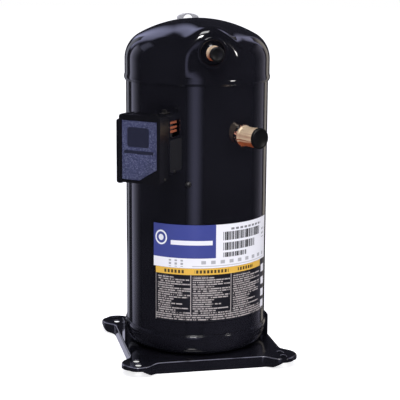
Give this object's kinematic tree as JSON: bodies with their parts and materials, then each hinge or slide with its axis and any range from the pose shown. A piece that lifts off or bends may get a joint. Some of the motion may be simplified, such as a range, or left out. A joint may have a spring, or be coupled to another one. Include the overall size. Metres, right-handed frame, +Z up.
{
  "type": "scroll compressor",
  "caption": "Upright hermetic scroll compressor: domed welded shell on a square footed base, side terminal box, copper suction and discharge stubs, and the scroll set, shaft and motor inside.",
  "frame": {"origin": "on the shell's axis, in the plane of the undersides of the base plate and its feet", "axes": "+Z up along the shell's axis, -Y along the discharge stub, +X to the right seen from in front of that stub"},
  "size_m": [0.2349, 0.2466, 0.4472],
  "materials": {
    "enamel": "thick glossy black enamel, slightly uneven, with soft reflections",
    "plated": "bright zinc plating",
    "copper": "clean bright copper with faint drawing lines",
    "rubber": "soft matt black rubber",
    "cover": "black moulded plastic with a grained, speckled front panel",
    "insulator": "grey moulded insulator",
    "label": "printed film with a blue field and a white field",
    "dark_label": "printed film, dark with a yellow band and rows of small grey dashes",
    "cast_iron": "machined grey iron",
    "steel": "plain machined steel",
    "aluminium": "sintered aluminium, satin",
    "bronze": "bearing bronze",
    "winding": "varnished copper wire",
    "lamination": "stacked electrical steel"
  },
  "bodies": {
    "root": {"shell": "enamel", "top_cap": "enamel", "bottom_cap": "enamel", "base_plate": "enamel", "discharge_ferrule": "enamel", "terminal_fence": "enamel", "suction_collar": "enamel", "lifting_lug": "plated", "ground_screw": "plated", "cover_clip": "plated", "discharge_stub": "copper", "suction_stub": "copper", "terminal_strap_1": "copper", "terminal_strap_2": "copper", "terminal_strap_3": "copper", "cover_gasket": "rubber", "motor_leads": "rubber", "terminal_block": "insulator", "lead_connector": "insulator", "name_label": "label", "caution_label": "dark_label", "main_housing": "cast_iron", "suction_baffle": "steel", "terminal_cup": "steel", "terminal_pin_1": "steel", "terminal_pin_2": "steel", "terminal_pin_3": "steel", "muffler_plate": "steel", "valve_seat": "steel", "valve_retainer": "steel", "scroll_bolt_1": "steel", "scroll_bolt_2": "steel", "scroll_bolt_3": "steel", "scroll_bolt_4": "steel", "motor_protector": "steel", "lower_bracket": "steel", "relief_body": "bronze", "main_bush": "bronze", "lower_bush": "bronze", "thrust_washer": "bronze", "upper_winding": "winding", "lower_winding": "winding", "stator_core": "lamination", "sump_magnet": "lamination"},
    "crank": {"crankshaft": "steel", "drive_bushing": "steel", "rotor": "lamination", "upper_counterweight": "cast_iron", "lower_counterweight": "cast_iron", "oil_pickup": "steel"},
    "orbiting": {"orbiting_scroll": "cast_iron", "scroll_bush": "bronze"},
    "oldham": {"oldham_ring": "aluminium"},
    "fixed": {"fixed_scroll": "cast_iron"},
    "seal": {"floating_seal": "cast_iron"},
    "check_disc": {"valve_disc": "steel"},
    "poppet": {"relief_poppet": "steel"},
    "cover": {"terminal_cover": "cover"},
    "suction_cap": {"suction_plug": "rubber"},
    "discharge_cap": {"discharge_plug": "rubber"}
  },
  "joints": [
    {"name": "crank_spin", "type": "hinge", "parent": "root", "child": "crank", "pos_m": [0, 0, 0.14], "axis": [0, 0, 1], "continuous": true},
    {"name": "orbit", "type": "hinge", "parent": "crank", "child": "orbiting", "pos_m": [0.0046, 0, 0.272], "axis": [0, 0, 1], "continuous": true},
    {"name": "oldham_follow", "type": "hinge", "parent": "crank", "child": "oldham", "pos_m": [0.0023, 0, 0.279], "axis": [0, 0, 1], "continuous": true},
    {"name": "fixed_scroll_lift", "type": "slide", "parent": "root", "child": "fixed", "axis": [0, 0, 1], "range_m": [0, 0.001]},
    {"name": "seal_float", "type": "slide", "parent": "fixed", "child": "seal", "axis": [0, 0, 1], "range_m": [0, 0.0012]},
    {"name": "check_disc_lift", "type": "slide", "parent": "root", "child": "check_disc", "axis": [0, 0, 1], "range_m": [0, 0.003]},
    {"name": "poppet_lift", "type": "slide", "parent": "root", "child": "poppet", "axis": [0, 0, 1], "range_m": [0, 0.002]},
    {"name": "cover_pull", "type": "slide", "parent": "root", "child": "cover", "axis": [-0.6428, -0.766, 0], "range_m": [0, 0.06]},
    {"name": "suction_plug_pull", "type": "slide", "parent": "root", "child": "suction_cap", "axis": [0.454, -0.891, 0], "range_m": [0, 0.03]},
    {"name": "discharge_plug_pull", "type": "slide", "parent": "root", "child": "discharge_cap", "axis": [0, -1, 0], "range_m": [0, 0.03]}
  ],
  "couplings": [
    {"joint": "orbit", "follows": "crank_spin", "ratio": -1},
    {"joint": "oldham_follow", "follows": "crank_spin", "ratio": -1}
  ]
}
